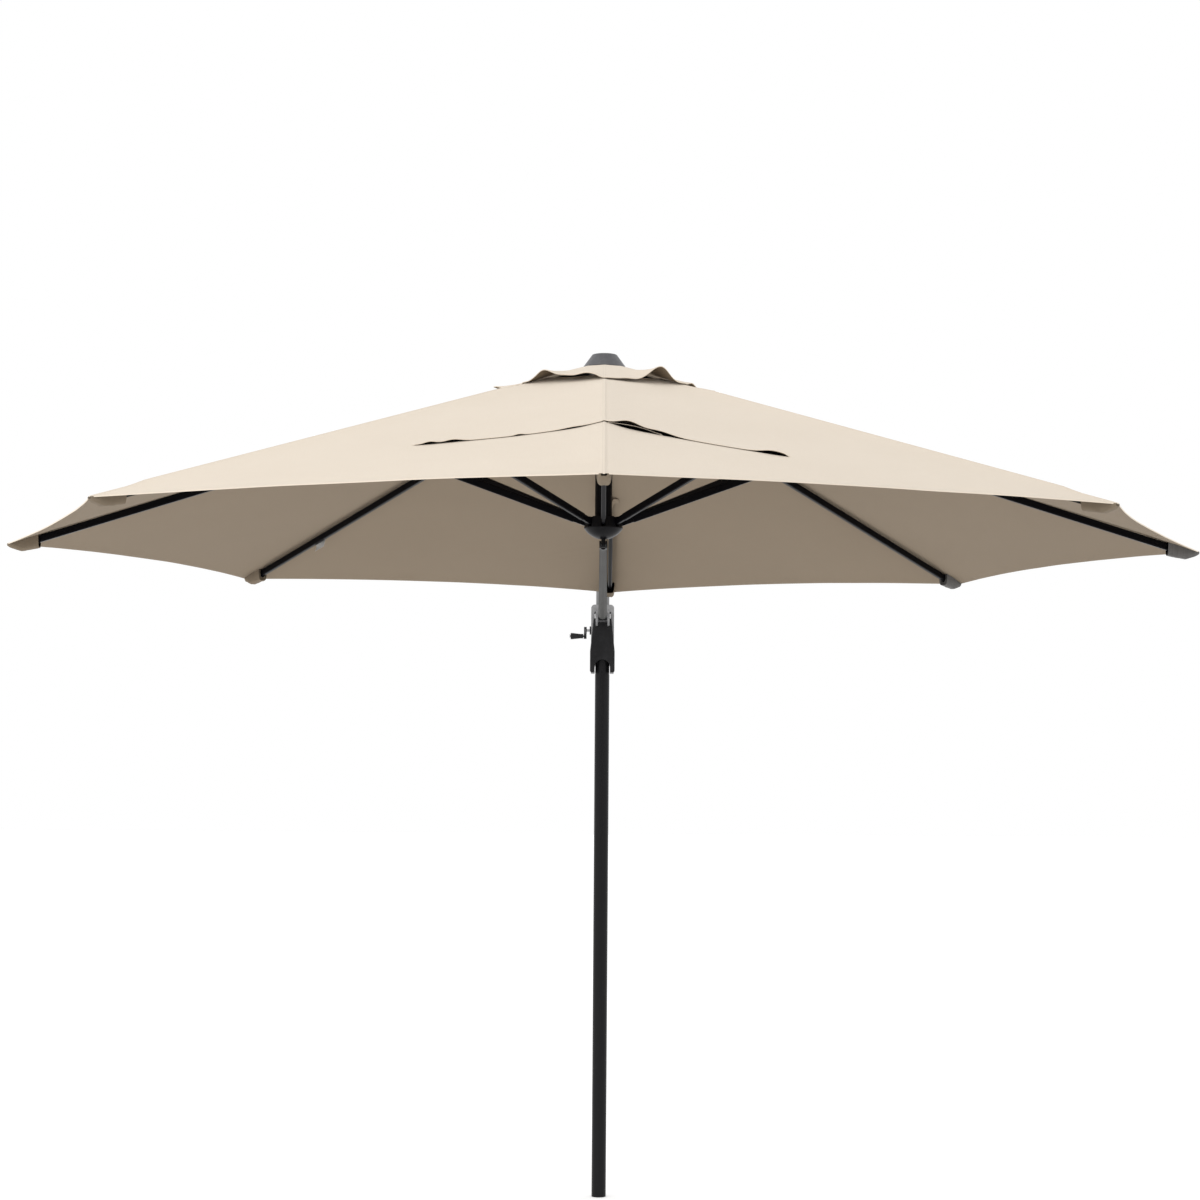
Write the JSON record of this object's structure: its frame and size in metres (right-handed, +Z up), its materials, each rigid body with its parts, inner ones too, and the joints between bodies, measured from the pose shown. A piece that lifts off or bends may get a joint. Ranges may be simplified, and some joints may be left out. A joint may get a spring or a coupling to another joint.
{
  "type": "cantilever patio umbrella",
  "caption": "Offset patio umbrella: an octagonal cloth canopy with a wind vent, hung from a curved arm beside its mast and folded by a crank and guide arm",
  "frame": {"origin": "middle of the mast's foot, where it stands in a base", "axes": "+Z up along the mast, -Y from the mast towards the canopy, crank on -X"},
  "size_m": [3, 3.484, 2.6218],
  "materials": {
    "mast_black": "black powder coat",
    "frame_black": "black powder coat",
    "upper_mast_grey": "grey powder coat",
    "guide_arm_grey": "dark grey powder coat",
    "inner_plastic": "black nylon",
    "cap_grey": "mid grey moulded plastic",
    "housing_grey": "light grey moulded plastic",
    "housing_black": "black moulded plastic",
    "hub_black": "black nylon",
    "end_cap_dark": "charcoal moulded plastic",
    "canopy_cloth": "woven polyester, cream",
    "label_cloth": "white satin, blank",
    "steel_pin": "zinc plated steel"
  },
  "bodies": {
    "stand": {"mast_tube": "mast_black", "mast_foot_plug": "mast_black", "mast_insert": "inner_plastic", "upper_mast_tube": "upper_mast_grey", "upper_mast_bracket": "cap_grey", "crown_cap": "cap_grey", "crown_swing_pin": "steel_pin", "housing_left": "housing_grey", "housing_right": "housing_grey", "housing_front_cover": "housing_black", "housing_screws": "steel_pin", "arm_pivot_bolts": "steel_pin", "crank_bush": "housing_black"},
    "crank": {"crank_shaft": "steel_pin", "cord_reel": "inner_plastic", "crank_handle": "housing_black", "grip_screw": "steel_pin"},
    "grip": {"crank_grip": "housing_black"},
    "crown": {"crown_body": "hub_black", "crown_hinge_pins": "steel_pin", "vent_canopy": "canopy_cloth"},
    "hub": {"canopy_hub": "hub_black", "hub_neck_tube": "frame_black"},
    "guide_arm": {"guide_arm_tube": "guide_arm_grey", "guide_arm_fork": "housing_black", "guide_arm_pin": "steel_pin", "guide_arm_eye": "housing_black"},
    "rib_arm_1": {"rib_1": "frame_black", "rib_end_cap_1": "end_cap_dark", "canopy_gore_1": "canopy_cloth"},
    "strut_arm_1": {"strut_1": "frame_black"},
    "rib_arm_2": {"rib_2": "frame_black", "rib_end_cap_2": "end_cap_dark", "canopy_gore_2": "canopy_cloth"},
    "strut_arm_2": {"strut_2": "frame_black"},
    "rib_arm_3": {"rib_3": "frame_black", "rib_end_cap_3": "end_cap_dark", "canopy_gore_3": "canopy_cloth"},
    "strut_arm_3": {"strut_3": "frame_black"},
    "rib_arm_4": {"rib_4": "frame_black", "rib_end_cap_4": "end_cap_dark", "canopy_gore_4": "canopy_cloth"},
    "strut_arm_4": {"strut_4": "frame_black"},
    "rib_arm_5": {"rib_5": "frame_black", "rib_end_cap_5": "end_cap_dark", "canopy_gore_5": "canopy_cloth"},
    "strut_arm_5": {"strut_5": "frame_black"},
    "rib_arm_6": {"rib_6": "frame_black", "rib_end_cap_6": "end_cap_dark", "canopy_gore_6": "canopy_cloth", "care_label": "label_cloth"},
    "strut_arm_6": {"strut_6": "frame_black"},
    "rib_arm_7": {"rib_7": "frame_black", "rib_end_cap_7": "end_cap_dark", "canopy_gore_7": "canopy_cloth"},
    "strut_arm_7": {"strut_7": "frame_black"},
    "rib_arm_8": {"rib_8": "frame_black", "rib_end_cap_8": "end_cap_dark", "canopy_gore_8": "canopy_cloth"},
    "strut_arm_8": {"strut_8": "frame_black"}
  },
  "joints": [
    {"name": "crank_turn", "type": "hinge", "parent": "stand", "child": "crank", "pos_m": [0, 0.052, 1.888], "axis": [1, 0, 0], "range_deg": [0, 1945]},
    {"name": "grip_spin", "type": "hinge", "parent": "crank", "child": "grip", "pos_m": [-0.08, -0.01933, 1.86482], "axis": [1, 0, 0], "continuous": true},
    {"name": "crown_swing", "type": "hinge", "parent": "stand", "child": "crown", "pos_m": [0, -1.9, 2.448], "axis": [1, 0, 0], "range_deg": [0, 6.07], "deforming": ["vent_canopy"]},
    {"name": "rib_fold_1", "type": "hinge", "parent": "crown", "child": "rib_arm_1", "pos_m": [0, -1.95, 2.42], "axis": [1, 0, 0], "range_deg": [0, 64.8], "deforming": ["canopy_gore_1"]},
    {"name": "strut_fold_1", "type": "hinge", "parent": "rib_arm_1", "child": "strut_arm_1", "pos_m": [0, -2.47426, 2.23678], "axis": [-1, 0, 0], "range_deg": [0, 128.16]},
    {"name": "rib_fold_2", "type": "hinge", "parent": "crown", "child": "rib_arm_2", "pos_m": [0.03535, -1.93535, 2.42], "axis": [0.7071, 0.7071, 0], "range_deg": [0, 64.82], "deforming": ["canopy_gore_2"]},
    {"name": "strut_fold_2", "type": "hinge", "parent": "rib_arm_2", "child": "strut_arm_2", "pos_m": [0.40607, -2.30607, 2.23678], "axis": [-0.7071, -0.7071, 0], "range_deg": [0, 128.16]},
    {"name": "rib_fold_3", "type": "hinge", "parent": "crown", "child": "rib_arm_3", "pos_m": [0.05, -1.9, 2.42], "axis": [0, 1, 0], "range_deg": [0, 64.82], "deforming": ["canopy_gore_3"]},
    {"name": "strut_fold_3", "type": "hinge", "parent": "rib_arm_3", "child": "strut_arm_3", "pos_m": [0.57427, -1.9, 2.23678], "axis": [0, -1, 0], "range_deg": [0, 128.16]},
    {"name": "rib_fold_4", "type": "hinge", "parent": "crown", "child": "rib_arm_4", "pos_m": [0.03535, -1.86465, 2.42], "axis": [-0.7071, 0.7071, 0], "range_deg": [0, 64.82], "deforming": ["canopy_gore_4"]},
    {"name": "strut_fold_4", "type": "hinge", "parent": "rib_arm_4", "child": "strut_arm_4", "pos_m": [0.40607, -1.49393, 2.23678], "axis": [0.7071, -0.7071, 0], "range_deg": [0, 128.16]},
    {"name": "rib_fold_5", "type": "hinge", "parent": "crown", "child": "rib_arm_5", "pos_m": [0, -1.85, 2.42], "axis": [-1, 0, 0], "range_deg": [0, 64.82], "deforming": ["canopy_gore_5"]},
    {"name": "strut_fold_5", "type": "hinge", "parent": "rib_arm_5", "child": "strut_arm_5", "pos_m": [0, -1.32574, 2.23678], "axis": [1, 0, 0], "range_deg": [0, 128.16]},
    {"name": "rib_fold_6", "type": "hinge", "parent": "crown", "child": "rib_arm_6", "pos_m": [-0.03535, -1.86465, 2.42], "axis": [-0.7071, -0.7071, 0], "range_deg": [0, 64.82], "deforming": ["canopy_gore_6"]},
    {"name": "strut_fold_6", "type": "hinge", "parent": "rib_arm_6", "child": "strut_arm_6", "pos_m": [-0.40607, -1.49393, 2.23678], "axis": [0.7071, 0.7071, 0], "range_deg": [0, 128.16]},
    {"name": "rib_fold_7", "type": "hinge", "parent": "crown", "child": "rib_arm_7", "pos_m": [-0.05, -1.9, 2.42], "axis": [0, -1, 0], "range_deg": [0, 64.82], "deforming": ["canopy_gore_7"]},
    {"name": "strut_fold_7", "type": "hinge", "parent": "rib_arm_7", "child": "strut_arm_7", "pos_m": [-0.57427, -1.9, 2.23678], "axis": [0, 1, 0], "range_deg": [0, 128.16]},
    {"name": "rib_fold_8", "type": "hinge", "parent": "crown", "child": "rib_arm_8", "pos_m": [-0.03535, -1.93535, 2.42], "axis": [0.7071, -0.7071, 0], "range_deg": [0, 64.82], "deforming": ["canopy_gore_8"]},
    {"name": "strut_fold_8", "type": "hinge", "parent": "rib_arm_8", "child": "strut_arm_8", "pos_m": [-0.40607, -2.30607, 2.23678], "axis": [-0.7071, 0.7071, 0], "range_deg": [0, 128.16]},
    {"name": "hub_pivot", "type": "hinge", "parent": "strut_arm_1", "child": "hub", "pos_m": [0, -1.94, 2.044], "axis": [1, 0, 0], "range_deg": [0, 63.36]},
    {"name": "arm_pivot", "type": "hinge", "parent": "hub", "child": "guide_arm", "pos_m": [0, -1.9, 1.992], "axis": [1, 0, 0], "range_deg": [0, 17.5]}
  ],
  "couplings": [
    {"joint": "crank_turn", "follows": "rib_fold_1", "ratio": 30},
    {"joint": "crown_swing", "follows": "rib_fold_1", "ratio": 0.093427},
    {"joint": "strut_fold_1", "follows": "rib_fold_1", "ratio": 1.9775},
    {"joint": "rib_fold_2", "follows": "rib_fold_1", "ratio": 1},
    {"joint": "strut_fold_2", "follows": "rib_fold_1", "ratio": 1.9775},
    {"joint": "rib_fold_3", "follows": "rib_fold_1", "ratio": 1},
    {"joint": "strut_fold_3", "follows": "rib_fold_1", "ratio": 1.9775},
    {"joint": "rib_fold_4", "follows": "rib_fold_1", "ratio": 1},
    {"joint": "strut_fold_4", "follows": "rib_fold_1", "ratio": 1.9775},
    {"joint": "rib_fold_5", "follows": "rib_fold_1", "ratio": 1},
    {"joint": "strut_fold_5", "follows": "rib_fold_1", "ratio": 1.9775},
    {"joint": "rib_fold_6", "follows": "rib_fold_1", "ratio": 1},
    {"joint": "strut_fold_6", "follows": "rib_fold_1", "ratio": 1.9775},
    {"joint": "rib_fold_7", "follows": "rib_fold_1", "ratio": 1},
    {"joint": "strut_fold_7", "follows": "rib_fold_1", "ratio": 1.9775},
    {"joint": "rib_fold_8", "follows": "rib_fold_1", "ratio": 1},
    {"joint": "strut_fold_8", "follows": "rib_fold_1", "ratio": 1.9775},
    {"joint": "hub_pivot", "follows": "rib_fold_1", "ratio": 0.97748},
    {"joint": "arm_pivot", "follows": "rib_fold_1", "ratio": 0.26977}
  ]
}
